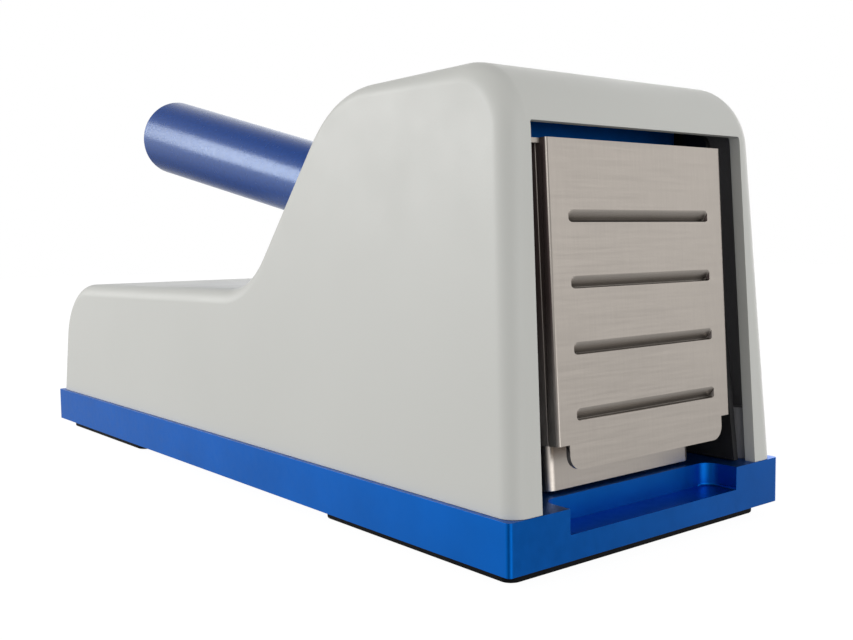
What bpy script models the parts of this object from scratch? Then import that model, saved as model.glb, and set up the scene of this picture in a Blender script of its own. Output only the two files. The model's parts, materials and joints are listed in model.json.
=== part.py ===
"""A bench tablet crusher: a lever presses a steel platen against a ribbed front plate, with a pouch between.

Lengths are millimetres until bench() or MM turns them into metres. X is the width, Y runs back from the
front edge of the base and Z is up from the bench. The origin ends up on the bench under the base's middle.
Run it with blender --background --python part.py, or from Blender's text editor."""

import math

import bmesh
import bpy
from mathutils import Matrix, Vector

MM = 0.001
GAP = 0.3  # clearance between pieces that touch

# Base and feet
BASE_WIDTH = 100.0
BASE_LENGTH = 270.0
BASE_BOTTOM = 3.2
BASE_TOP = 15.2
BASE_CORNER = 1.2
PAD_THICKNESS = 2.9
PAD_CORNER = 3.0
PAD_HALF = 46.0
FRONT_PAD = (4.0, 78.0)  # front and rear
REAR_PAD = (198.0, 266.0)
NOTCH_HALF = 31.2
NOTCH_DEPTH = 9.2
NOTCH_FLOOR = 9.2
NOTCH_CORNER = 4.0

# Housing
LEAN = 0.057  # how far the front and the plates lean back for each mm of height
SIDE_DRAFT = 0.047
REAR_DRAFT = 0.06
SHELL_BOTTOM = BASE_TOP + GAP
ROOF_FRONT_Z = 115.4  # where the roof would meet the front
ROOF_REAR_Z = 114.25  # where it would meet the tower's rear slope
SHELL_HALF = 48.6
SHELL_WALL = 3.0
SHELL_FRONT = 0.2
SHELL_REAR = 268.8
TOWER_REAR = 74.0
SLOPE_FOOT = 118.5  # where the slope would meet the deck
DECK_FRONT_Z = 61.0
DECK_REAR_Z = 58.3
ROOF_FRONT_ROUND = 17.5
ROOF_REAR_ROUND = 35.0
SLOPE_ROUND = 30.0
DECK_ROUND = 22.0
EDGE_ROUND = 5.5
OPENING_HALF = 39.7
OPENING_TOP = 100.9
OPENING_TAPER = 0.019
OPENING_CORNER = 0.6
SLOT_HALF = 15.0
SLOT_BOTTOM = 61.2
SLOT_TOP = 97.5
BOSSES = ((-43.6, 7.5), (43.6, 7.5), (-42.6, 262.4), (42.6, 262.4))
BOSS_RADIUS = 3.4
BOSS_TOP = 29.0

# Chassis
WEB_INSIDE = 36.4
WEB_THICKNESS = 1.8
WEB_OUTSIDE = WEB_INSIDE + WEB_THICKNESS
WEB_FRONT_DEPTH = 4.2
WEB_REAR = 70.0
WEB_CORNER = 3.0
WEB_TOP = ((66.0, 97.0), (58.0, 105.0), (30.0, 109.0), (14.5, 101.0))
FOOT_REACH = 10.4
FOOT_SPAN = (24.0, 66.0)
FOOT_SCREW_X = 30.5
FOOT_SCREW_Y = (32.0, 58.0)

# Front plate and platen, in the leaning frame: u across, t back from the front face, h up from the base
PLATE_FRONT = 2.1
SHEET = 1.2
PLATE_HALF = 32.1
PLATE_TOP = 82.6
SHOULDER = 13.5
TONGUE_HALF = 28.3
TONGUE_BOTTOM = 7.6
FLANGE_DEPTH = 6.0
TAB_REACH = 36.0
TAB_DEPTH = (1.5, 3.0)
GROOVE_COUNT = 4
GROOVE_TOP = 64.8
GROOVE_PITCH = 15.03
GROOVE_HALF = 25.6
GROOVE_HEIGHT = 2.7
GROOVE_DEPTH = 1.4
RIB_END_WALL = 0.9
RIB_SIDE_WALL = 0.5
EAR_HEIGHTS = (18.0, 76.0)
EAR_HALF = 4.0
EAR_DEPTH = 15.0
EAR_SCREW = 11.5
PLATEN_GAP = 9.0
PLATEN_SHEET = 1.5
PLATEN_HALF = 26.5
PLATEN_DEPTH = 6.0
PLATEN_BEND = 2.2
PLATEN_FOOT = 1.25
PLATEN_HEIGHT = 77.8

# Lever and handle, in the YZ plane
PIVOT = (37.0, 94.0)
ROLLER = (21.55, 61.0)
BARREL_RADIUS = 14.0
BARREL_HALF = 34.5
BROW_HALF = 34.3  # the flat front of the barrel, behind the top of the front opening
BROW_Y = (23.2, 32.0)
BROW_Z = (88.0, 104.6)
CHEEK_HALF = 19.0
ROLLER_RADIUS = 6.0
ROLLER_HALF = 12.0
HANDLE_RISE = 12.28  # degrees above horizontal at rest
HANDLE_END = (258.4, 119.3)
HANDLE_LENGTH = 197.0
HANDLE_END_RADIUS = 15.0
HANDLE_ROOT_RADIUS = 10.9
SPIGOT_RADIUS = 9.0
SPIGOT_LENGTH = 22.0
HANDLE_BORE = 6.0
SOCKET_RADIUS = 15.0
SOCKET_LENGTH = 30.0
PLUG_RADIUS = 10.5
PLUG_LENGTH = 8.0
PIVOT_PIN_RADIUS = 4.0
ROLLER_PIN_RADIUS = 2.5
CROSS_PIN_RADIUS = 2.0
CROSS_PIN_BACK = 12.0

# Guide and return springs
GUIDE_Y = (26.0, 40.0)
GUIDE_Z = (32.0, 50.0)
ROD_X = 20.0
ROD_Z = 41.0
ROD_RADIUS = 3.0
ROD_END = 63.0
BUSH_WALL = 1.7
SPRING_RADIUS = 4.6
SPRING_WIRE = 0.55
SPRING_TURNS = 7
SPRING_SPAN = (40.4, 58.4)
WASHER_RADIUS = 6.2
WASHER_THICKNESS = 1.5
CLIP_THICKNESS = 1.0
TIE_BAR = (57.0, 95.4)
TIE_BAR_RADIUS = 4.0

BLUE = (0.012, 0.070, 0.300)
SHELL_WHITE = (0.62, 0.62, 0.59)
BLACK = (0.012, 0.012, 0.014)
DARK_STEEL = (0.060, 0.060, 0.064)
STEEL = (0.56, 0.54, 0.51)
BRONZE = (0.42, 0.25, 0.10)
GREY_METAL = (0.40, 0.41, 0.42)


def clear_scene():
    for old in list(bpy.data.objects):
        bpy.data.objects.remove(old, do_unlink=True)


def new_collection(name, hidden=False):
    collection = bpy.data.collections.new(name)
    bpy.context.scene.collection.children.link(collection)
    collection.hide_render = hidden
    return collection


clear_scene()
PARTS = new_collection("tablet_crusher")
CUTTERS = new_collection("cutters", hidden=True)


def new_material(name, colour, roughness, metallic):
    material = bpy.data.materials.new(name)
    material.use_nodes = True
    shader = material.node_tree.nodes["Principled BSDF"]
    shader.inputs["Base Color"].default_value = (*colour, 1.0)
    shader.inputs["Roughness"].default_value = roughness
    shader.inputs["Metallic"].default_value = metallic
    return material


def bench(x, y, z):
    """A point in metres from millimetres across, back from the front edge and up from the bench."""
    return Vector((x, y - BASE_LENGTH / 2, z)) * MM


def arc(centre, radius, start, end, steps):
    """Points along an arc, with its angles in degrees."""
    turn = [math.radians(start + (end - start) * i / steps) for i in range(steps + 1)]
    return [(centre[0] + radius * math.cos(a), centre[1] + radius * math.sin(a)) for a in turn]


def rounded_outline(corners, steps=4):
    """An outline from corners (u, v, radius), each rounded with an arc that touches both of its sides."""
    outline = []
    for i, (u, v, radius) in enumerate(corners):
        here = Vector((u, v))
        if not radius:
            outline.append(here)
            continue
        back = (Vector(corners[i - 1][:2]) - here).normalized()
        ahead = (Vector(corners[(i + 1) % len(corners)][:2]) - here).normalized()
        half = back.angle(ahead) / 2
        centre = here + (back + ahead).normalized() * (radius / math.sin(half))
        first = here + back * (radius / math.tan(half)) - centre
        last = here + ahead * (radius / math.tan(half)) - centre
        sweep = first.angle_signed(last)
        for step in range(steps + 1):
            turn = -sweep * step / steps
            outline.append(centre + Matrix.Rotation(turn, 2) @ first)
    return [tuple(point) for point in outline]


def rectangle(low_u, high_u, low_v, high_v, radius=0.0, steps=4):
    corners = [(low_u, low_v), (high_u, low_v), (high_u, high_v), (low_u, high_v)]
    return rounded_outline([(*corner, radius) for corner in corners], steps)


def box_shape(low, high):
    shape = bmesh.new()
    size = [b - a for a, b in zip(low, high)]
    middle = [(a + b) / 2 for a, b in zip(low, high)]
    bmesh.ops.create_cube(shape, size=1.0, matrix=Matrix.LocRotScale(middle, None, size))
    return shape


def rod_shape(radius, low, high, segments=20):
    """A cylinder along Z."""
    shape = bmesh.new()
    bmesh.ops.create_cone(
        shape, cap_ends=True, segments=segments, radius1=radius, radius2=radius, depth=high - low,
        matrix=Matrix.Translation((0.0, 0.0, (low + high) / 2)),
    )
    return shape


def extruded_shape(outline, low, high, across="XY"):
    """An outline given in the plane named by across, extruded along the third axis from low to high."""
    order = {"XY": (0, 1, 2), "YZ": (1, 2, 0), "XZ": (0, 2, 1)}[across]
    shape = bmesh.new()
    verts = []
    for u, v in outline:
        point = [0.0, 0.0, 0.0]
        for axis, value in zip(order, (u, v, low)):
            point[axis] = value
        verts.append(shape.verts.new(point))
    face = shape.faces.new(verts)
    lifted = bmesh.ops.extrude_face_region(shape, geom=[face])["geom"]
    step = [0.0, 0.0, 0.0]
    step[order[2]] = high - low
    bmesh.ops.translate(shape, vec=step, verts=[v for v in lifted if isinstance(v, bmesh.types.BMVert)])
    bmesh.ops.recalc_face_normals(shape, faces=shape.faces)
    return shape


def add(name, shape, at, material=None, turn=(0.0, 0.0, 0.0), parent=None):
    """Makes an object of a shape in millimetres. Without a material it is a cutter or a helper."""
    bmesh.ops.scale(shape, vec=(MM, MM, MM), verts=shape.verts)
    mesh = bpy.data.meshes.new(name)
    shape.to_mesh(mesh)
    shape.free()
    mesh.shade_smooth()
    mesh.set_sharp_from_angle(angle=math.radians(35))
    thing = bpy.data.objects.new(name, mesh)
    thing.location = at
    thing.rotation_euler = turn
    if material:
        mesh.materials.append(material)
        PARTS.objects.link(thing)
    else:
        CUTTERS.objects.link(thing)
        thing.hide_render = True
        thing.display_type = "WIRE"
    if parent:
        thing.parent = parent
        thing.matrix_parent_inverse = Matrix.Translation(-parent.location)
    return thing


def combine(target, other, operation):
    modifier = target.modifiers.new(other.name, "BOOLEAN")
    modifier.operation = operation
    modifier.solver = "EXACT"
    modifier.object = other


def cut(target, *cutters):
    for cutter in cutters:
        combine(target, cutter, "DIFFERENCE")


def join(target, *others):
    for other in others:
        combine(target, other, "UNION")


ALONG_X = (0.0, math.pi / 2, 0.0)
ALONG_Y = (-math.pi / 2, 0.0, 0.0)
UPRIGHT = (0.0, 0.0, 0.0)
LEANING = (-math.atan(LEAN), 0.0, 0.0)


def turned(name, profile, at, material, turn=UPRIGHT, parent=None, steps=32):
    """A turned piece: a closed profile of (radius, height) swept round the piece's Z by a Screw modifier."""
    shape = bmesh.new()
    verts = [shape.verts.new((radius, 0.0, height)) for radius, height in profile]
    for a, b in zip(verts, verts[1:] + verts[:1]):
        shape.edges.new((a, b))
    thing = add(name, shape, at, material, turn, parent)
    screw = thing.modifiers.new("turn", "SCREW")
    screw.steps = screw.render_steps = steps
    screw.use_merge_vertices = True
    screw.merge_threshold = 0.00001
    screw.use_smooth_shade = False
    return thing


def ring(name, inner, outer, low, high, at, material, turn=UPRIGHT, parent=None, steps=20):
    return turned(
        name, [(outer, high), (outer, low), (inner, low), (inner, high)], at, material, turn, parent, steps
    )


def hole(name, radius, low, high, at, turn=UPRIGHT):
    return add(name, rod_shape(radius, low, high, 16 if radius < 4.0 else 28), at, turn=turn)


def pan_screw(name, shank, head, head_height, length, at, turn, material, parent=None):
    """A screw whose head stands on the origin plane along +Z and whose shank goes down along -Z."""
    profile = [
        (0.0, head_height), (head * 0.72, head_height), (head, head_height * 0.62), (head, 0.0),
        (shank, 0.0), (shank, -length + 0.6), (shank - 0.6, -length), (0.0, -length),
    ]
    shape = bmesh.new()
    verts = [shape.verts.new((radius, 0.0, height)) for radius, height in profile]
    for a, b in zip(verts, verts[1:]):
        shape.edges.new((a, b))
    screw_object = add(name, shape, at, material, turn, parent)
    screw = screw_object.modifiers.new("turn", "SCREW")
    screw.steps = screw.render_steps = 12
    screw.use_merge_vertices = True
    screw.merge_threshold = 0.00001
    hexagon = rod_shape(head * 0.42, head_height * 0.35, head_height + 2.0, 6)
    socket = add(name + "_socket", hexagon, at, turn=turn)
    if parent:
        socket.parent = parent
        socket.matrix_parent_inverse = Matrix.Translation(-parent.location)
    cut(screw_object, socket)
    return screw_object


MATERIALS = {
    "blue_aluminium": new_material("blue_aluminium", BLUE, 0.35, 0.85),
    "shell_plastic": new_material("shell_plastic", SHELL_WHITE, 0.45, 0.0),
    "rubber": new_material("rubber", BLACK, 0.75, 0.0),
    "dark_steel": new_material("dark_steel", DARK_STEEL, 0.50, 0.8),
    "brushed_steel": new_material("brushed_steel", STEEL, 0.35, 1.0),
    "bearing_bronze": new_material("bearing_bronze", BRONZE, 0.40, 1.0),
    "bright_steel": new_material("bright_steel", GREY_METAL, 0.25, 1.0),
}


def base_holes():
    """The cutters for the screws: four from below into the housing, four from above into the chassis feet."""
    cutters = []
    for i, (x, y) in enumerate(BOSSES):
        at = bench(x, y, 0.0)
        cutters.append(hole(f"housing_screw_hole_{i}", 1.9, 0.0, 20.0, at))
        cutters.append(hole(f"housing_screw_counterbore_{i}", 3.5, 0.0, 7.0, at))
    for x in (-FOOT_SCREW_X, FOOT_SCREW_X):
        for y in FOOT_SCREW_Y:
            cutters.append(hole(f"foot_screw_hole_{x:.0f}_{y:.0f}", 2.8, 8.0, 20.0, bench(x, y, 0.0)))
    return cutters


def make_base():
    outline = rectangle(-BASE_WIDTH / 2, BASE_WIDTH / 2, 0.0, BASE_LENGTH, BASE_CORNER)
    slab = extruded_shape(outline, BASE_BOTTOM, BASE_TOP)
    base = add("base_plate", slab, bench(0, 0, 0), MATERIALS["blue_aluminium"])
    notch = rounded_outline(
        [(-NOTCH_HALF, -5.0, 0.0), (NOTCH_HALF, -5.0, 0.0), (NOTCH_HALF, NOTCH_DEPTH, NOTCH_CORNER),
         (-NOTCH_HALF, NOTCH_DEPTH, NOTCH_CORNER)]
    )
    notch_shape = extruded_shape(notch, NOTCH_FLOOR, BASE_TOP + 5.0)
    cut(base, add("pouch_notch", notch_shape, bench(0, 0, 0)), *base_holes())
    for name, extent in (("front_foot_pad", FRONT_PAD), ("rear_foot_pad", REAR_PAD)):
        shape = extruded_shape(rectangle(-PAD_HALF, PAD_HALF, *extent, PAD_CORNER), 0.0, PAD_THICKNESS)
        add(name, shape, bench(0, 0, 0), MATERIALS["rubber"])


def shell_half(z):
    return SHELL_HALF - SIDE_DRAFT * (z - BASE_TOP)


def front_face(z, depth=0.0):
    """How far back the leaning front of the housing is at a height."""
    return SHELL_FRONT + depth + LEAN * (z - BASE_TOP)


def housing_profile():
    rear_top = SHELL_REAR - REAR_DRAFT * (DECK_REAR_Z - BASE_TOP)
    return rounded_outline(
        [
            (front_face(SHELL_BOTTOM), SHELL_BOTTOM, 0.0),
            (front_face(ROOF_FRONT_Z), ROOF_FRONT_Z, ROOF_FRONT_ROUND),
            (TOWER_REAR, ROOF_REAR_Z, ROOF_REAR_ROUND),
            (SLOPE_FOOT, DECK_FRONT_Z, SLOPE_ROUND),
            (rear_top, DECK_REAR_Z, DECK_ROUND),
            (SHELL_REAR, SHELL_BOTTOM, 0.0),
        ],
        steps=6,
    )


def make_housing():
    profile = housing_profile()
    shape = bmesh.new()
    left = [shape.verts.new((-shell_half(z), y, z)) for y, z in profile]
    right = [shape.verts.new((shell_half(z), y, z)) for y, z in profile]
    sides = [shape.faces.new(left), shape.faces.new(right[::-1])]
    for i in range(len(profile) - 1):
        shape.faces.new((left[i], left[i + 1], right[i + 1], right[i]))
    bmesh.ops.recalc_face_normals(shape, faces=shape.faces)
    if sides[0].normal.x > 0:
        bmesh.ops.reverse_faces(shape, faces=shape.faces)
    edges = [e for side in sides for e in side.edges if len(e.link_faces) == 2]
    bmesh.ops.bevel(
        shape, geom=edges, offset=EDGE_ROUND, segments=3, profile=0.5, affect="EDGES", clamp_overlap=True
    )
    housing = add("housing_shell", shape, bench(0, 0, 0), MATERIALS["shell_plastic"])
    wall = housing.modifiers.new("wall", "SOLIDIFY")
    wall.thickness = SHELL_WALL * MM
    wall.offset = -1.0
    wall.use_even_offset = True
    top_half = OPENING_HALF - OPENING_TAPER * (OPENING_TOP - BASE_TOP)
    low_half = OPENING_HALF + OPENING_TAPER * 5.0
    opening = rounded_outline(
        [
            (-low_half, BASE_TOP - 5.0, 0.0), (low_half, BASE_TOP - 5.0, 0.0),
            (top_half, OPENING_TOP, OPENING_CORNER), (-top_half, OPENING_TOP, OPENING_CORNER),
        ]
    )
    slot = rectangle(-SLOT_HALF, SLOT_HALF, SLOT_BOTTOM, SLOT_TOP, SLOT_HALF - 0.01, 8)
    cut(
        housing,
        add("front_opening", extruded_shape(opening, -10.0, 12.0, "XZ"), bench(0, 0, 0)),
        add("handle_slot", extruded_shape(slot, 70.0, 140.0, "XZ"), bench(0, 0, 0)),
    )
    for i, (x, y) in enumerate(BOSSES):
        join(housing, add(f"boss_{i}", rod_shape(BOSS_RADIUS, SHELL_BOTTOM, BOSS_TOP, 16), bench(x, y, 0)))
        cut(housing, hole(f"boss_hole_{i}", 1.8, 5.0, BOSS_TOP - 3.0, bench(x, y, 0)))


def web_outline():
    """The chassis side plate from the side: its front leans like the plates, its rear follows the tower."""
    foot = front_face(SHELL_BOTTOM, WEB_FRONT_DEPTH)
    corners = [(foot, SHELL_BOTTOM, 0.0), (WEB_REAR, SHELL_BOTTOM, 0.0), (WEB_REAR, DECK_FRONT_Z, 0.0)]
    return rounded_outline(corners + [(y, z, WEB_CORNER) for y, z in WEB_TOP])


def plate_point(u, t, h):
    """A point in the leaning frame of the front plate, as a bench point in metres."""
    return bench(0, PLATE_FRONT, BASE_TOP) + Matrix.Rotation(LEANING[0], 3, "X") @ Vector((u, t, h)) * MM


def make_chassis():
    for side, x_sign in (("left", -1), ("right", 1)):
        low, high = sorted((x_sign * WEB_INSIDE, x_sign * WEB_OUTSIDE))
        web_shape = extruded_shape(web_outline(), low, high, "YZ")
        web = add(f"side_plate_{side}", web_shape, bench(0, 0, 0), MATERIALS["dark_steel"])
        foot_low, foot_high = sorted((x_sign * (WEB_INSIDE - FOOT_REACH), x_sign * (WEB_OUTSIDE - 0.2)))
        foot = box_shape(
            (foot_low, FOOT_SPAN[0], SHELL_BOTTOM), (foot_high, FOOT_SPAN[1], SHELL_BOTTOM + WEB_THICKNESS)
        )
        join(web, add(f"foot_{side}", foot, bench(0, 0, 0)))
        across = x_sign * (WEB_INSIDE + WEB_THICKNESS / 2)
        for i, y in enumerate(FOOT_SCREW_Y):
            place = bench(x_sign * FOOT_SCREW_X, y, 0)
            cut(web, hole(f"foot_hole_{side}_{i}", 2.8, 10.0, 20.0, place))
            seat = bench(x_sign * FOOT_SCREW_X, y, SHELL_BOTTOM + WEB_THICKNESS + GAP)
            end = ("front", "rear")[i]
            steel = MATERIALS["bright_steel"]
            pan_screw(f"chassis_screw_{side}_{end}", 2.5, 4.2, 2.8, 7.5, seat, UPRIGHT, steel)
        cut(web, hole(f"pivot_hole_{side}", 6.0, -4.0, 4.0, bench(across, *PIVOT), ALONG_X))
        cut(web, hole(f"tie_hole_{side}", 2.3, -4.0, 4.0, bench(across, *TIE_BAR), ALONG_X))
        for i, z in enumerate(guide_screw_heights()):
            place = bench(across, guide_screw_y(), z)
            cut(web, hole(f"guide_hole_{side}_{i}", 2.3, -4.0, 4.0, place, ALONG_X))
        for i, height in enumerate(EAR_HEIGHTS):
            place = plate_point(0, EAR_SCREW, height) + Vector((across * MM, 0, 0))
            cut(web, hole(f"ear_hole_{side}_{i}", 1.8, -4.0, 4.0, place, ALONG_X))


def guide_screw_y():
    return (GUIDE_Y[0] + GUIDE_Y[1]) / 2


def guide_screw_heights():
    return (GUIDE_Z[0] + 3.5, GUIDE_Z[1] - 3.5)


def outward(x_sign):
    """The rotation that points a screw's head away from the middle along X."""
    return (0.0, x_sign * math.pi / 2, 0.0)


def make_cross_members():
    steel = MATERIALS["bright_steel"]
    half = WEB_INSIDE - GAP
    bar = add("stop_bar", rod_shape(TIE_BAR_RADIUS, -half, half), bench(0, *TIE_BAR), steel, ALONG_X)
    block = add(
        "guide_block",
        box_shape((-half, GUIDE_Y[0], GUIDE_Z[0]), (half, GUIDE_Y[1], GUIDE_Z[1])),
        bench(0, 0, 0),
        steel,
    )
    seat = ROD_RADIUS + BUSH_WALL + 2 * GAP
    for x in (-ROD_X, ROD_X):
        cut(block, hole(f"bush_seat_{x:.0f}", seat, -20.0, 20.0, bench(x, guide_screw_y(), ROD_Z), ALONG_Y))
    for side, x_sign in (("left", -1), ("right", 1)):
        face = x_sign * (WEB_OUTSIDE + GAP)
        turn = outward(x_sign)
        cut(bar, hole(f"tie_thread_{side}", 2.3, -12.0, 0.0, bench(face, *TIE_BAR), turn))
        pan_screw(f"stop_bar_screw_{side}", 2.0, 3.6, 2.0, 11.0, bench(face, *TIE_BAR), turn, steel)
        for level, z in zip(("lower", "upper"), guide_screw_heights()):
            place = bench(face, guide_screw_y(), z)
            cut(block, hole(f"guide_thread_{side}_{level}", 2.3, -12.0, 0.0, place, turn))
            pan_screw(f"guide_screw_{side}_{level}", 2.0, 3.6, 2.0, 11.0, place, turn, steel)


def groove_heights():
    return [GROOVE_TOP - GROOVE_PITCH * i for i in range(GROOVE_COUNT)]


def make_front_plate():
    """A sheet with bent flanges, four ears and a tab, with pressed grooves that stand out behind as ribs."""
    at = bench(0, PLATE_FRONT, BASE_TOP)
    steel = MATERIALS["brushed_steel"]
    outline = rounded_outline(
        [
            (-TONGUE_HALF, TONGUE_BOTTOM, 3.5), (TONGUE_HALF, TONGUE_BOTTOM, 3.5),
            (TONGUE_HALF, SHOULDER, 0.0), (PLATE_HALF, SHOULDER, 0.0),
            (PLATE_HALF, PLATE_TOP, 0.6), (-PLATE_HALF, PLATE_TOP, 0.6),
            (-PLATE_HALF, SHOULDER, 0.0), (-TONGUE_HALF, SHOULDER, 0.0),
        ],
        steps=4,
    )
    plate = add("front_plate", extruded_shape(outline, 0.0, SHEET, "XZ"), at, steel, LEANING)
    for side, x_sign in (("left", -1), ("right", 1)):
        low, high = sorted((x_sign * (PLATE_HALF - SHEET), x_sign * PLATE_HALF))
        flange = box_shape((low, 0.4, SHOULDER), (high, FLANGE_DEPTH, PLATE_TOP - 0.6))
        join(plate, add(f"flange_{side}", flange, at, turn=LEANING))
        for i, height in enumerate(EAR_HEIGHTS):
            ear = box_shape((low, 0.6, height - EAR_HALF), (high, EAR_DEPTH, height + EAR_HALF))
            join(plate, add(f"ear_{side}_{i}", ear, at, turn=LEANING))
            place = plate_point(0, EAR_SCREW, height)
            across = Vector((x_sign * (PLATE_HALF - SHEET / 2) * MM, 0, 0))
            cut(plate, hole(f"ear_thread_{side}_{i}", 1.8, -3.0, 3.0, place + across, ALONG_X))
            spacer_half = (WEB_INSIDE - PLATE_HALF) / 2 - GAP
            across = Vector((x_sign * (WEB_INSIDE + PLATE_HALF) / 2 * MM, 0, 0))
            level = ("lower", "upper")[i]
            ring(
                f"plate_spacer_{side}_{level}", 1.8, 3.5, -spacer_half, spacer_half, place + across,
                MATERIALS["bright_steel"], ALONG_X, steps=20,
            )
            across = Vector((x_sign * (WEB_OUTSIDE + GAP) * MM, 0, 0))
            pan_screw(
                f"plate_screw_{side}_{level}", 1.5, 2.8, 1.7, 8.6, place + across, outward(x_sign),
                MATERIALS["bright_steel"],
            )
    tab_low = (-TAB_REACH, TAB_DEPTH[0], PLATE_TOP - 1.2)
    tab = box_shape(tab_low, (-PLATE_HALF + 0.9, TAB_DEPTH[1], PLATE_TOP - 0.1))
    join(plate, add("tab", tab, at, turn=LEANING))
    half_height = GROOVE_HEIGHT / 2
    rib_half = GROOVE_HALF + RIB_END_WALL
    rib_half_height = half_height + RIB_SIDE_WALL
    for i, height in enumerate(groove_heights()):
        rib = rectangle(-rib_half, rib_half, height - rib_half_height, height + rib_half_height, 1.8, 2)
        join(plate, add(f"rib_{i}", extruded_shape(rib, 0.6, SHEET + GROOVE_DEPTH, "XZ"), at, turn=LEANING))
        groove = rectangle(-GROOVE_HALF, GROOVE_HALF, height - half_height, height + half_height, 1.2, 2)
        cut(plate, add(f"groove_{i}", extruded_shape(groove, -2.0, GROOVE_DEPTH, "XZ"), at, turn=LEANING))


def channel_outline(half, depth, thickness, bend):
    """A shallow U in the plane of X and depth: a flat web with its two sides bent back."""
    outer = rounded_outline(
        [(-half, depth, 0.0), (-half, 0.0, bend), (half, 0.0, bend), (half, depth, 0.0)], 4
    )
    inside = half - thickness
    inner = rounded_outline(
        [(inside, depth, 0.0), (inside, thickness, bend - thickness), (-inside, thickness, bend - thickness),
         (-inside, depth, 0.0)], 4
    )
    return outer + inner


def make_platen(slide):
    at = bench(0, PLATE_FRONT, BASE_TOP)
    outline = channel_outline(PLATEN_HALF, PLATEN_DEPTH, PLATEN_SHEET, PLATEN_BEND)
    outline = [(u, t + PLATEN_GAP) for u, t in outline]
    shape = extruded_shape(outline, PLATEN_FOOT, PLATEN_FOOT + PLATEN_HEIGHT)
    add("platen", shape, at, MATERIALS["brushed_steel"], LEANING, slide)
    steel = MATERIALS["bright_steel"]
    face = PLATE_FRONT + LEAN * (ROD_Z - BASE_TOP) + (PLATEN_GAP + PLATEN_SHEET) / math.cos(LEANING[0])
    for side, x in (("left", -ROD_X), ("right", ROD_X)):
        root = face + GAP + LEAN * ROD_RADIUS
        rod = rod_shape(ROD_RADIUS, root, ROD_END)
        add(f"guide_rod_{side}", rod, bench(x, 0, ROD_Z), steel, ALONG_Y, slide)
        washer = SPRING_SPAN[1] + GAP
        ring(
            f"spring_washer_{side}", ROD_RADIUS + GAP, WASHER_RADIUS, washer, washer + WASHER_THICKNESS,
            bench(x, 0, ROD_Z), steel, ALONG_Y, slide,
        )
        clip = washer + WASHER_THICKNESS + GAP
        ring(
            f"rod_clip_{side}", ROD_RADIUS + GAP, ROD_RADIUS + 1.9, clip, clip + CLIP_THICKNESS,
            bench(x, 0, ROD_Z), MATERIALS["dark_steel"], ALONG_Y, slide,
        )
        bush_outer = ROD_RADIUS + BUSH_WALL + GAP
        ring(
            f"guide_bush_{side}", ROD_RADIUS + GAP, bush_outer, GUIDE_Y[0], GUIDE_Y[1] - 0.1,
            bench(x, 0, ROD_Z), MATERIALS["bearing_bronze"], ALONG_Y,
        )
        make_spring(f"return_spring_{side}", x)


def make_spring(name, x):
    """A compression spring along Y with closed, flat end turns, as a poly curve with a round section."""
    per_turn = 10
    total = (SPRING_TURNS + 2) * per_turn
    free = SPRING_SPAN[1] - SPRING_SPAN[0] - 2 * SPRING_WIRE
    closed = 2.2 * SPRING_WIRE
    curve = bpy.data.curves.new(name, "CURVE")
    curve.dimensions = "3D"
    curve.bevel_depth = SPRING_WIRE * MM
    curve.bevel_resolution = 1
    curve.use_fill_caps = True
    spline = curve.splines.new("POLY")
    spline.points.add(total)
    for i in range(total + 1):
        turn = i / per_turn
        along = min(turn, 1.0) * closed + max(0.0, turn - SPRING_TURNS - 1.0) * closed
        along += min(max(turn - 1.0, 0.0), SPRING_TURNS) / SPRING_TURNS * (free - 2 * closed)
        angle = 2 * math.pi * turn
        across, up = SPRING_RADIUS * math.cos(angle), SPRING_RADIUS * math.sin(angle)
        point = Vector((across, along + SPRING_WIRE, up)) * MM
        spline.points[i].co = (*point, 1.0)
    curve.materials.append(MATERIALS["bright_steel"])
    spring = bpy.data.objects.new(name, curve)
    spring.location = bench(x, SPRING_SPAN[0], ROD_Z)
    PARTS.objects.link(spring)


def handle_point(distance):
    """The point on the handle's axis at a distance back from its free end, as (y, z) in millimetres."""
    rise = math.radians(HANDLE_RISE)
    return (HANDLE_END[0] - distance * math.cos(rise), HANDLE_END[1] - distance * math.sin(rise))


def lever_outline():
    """The lever's middle from the side: the nose round the roller, up to the barrel, back to the socket."""
    nose = arc(ROLLER, 5.0, 250, 160, 5)
    spine = [(23.5, 83.0), (28.0, 96.0), (46.0, 96.0), (52.0, 89.0), (56.0, 81.0), (50.0, 61.0), (40.0, 57.0)]
    return nose + spine + [(26.0, 55.8)]


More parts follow.
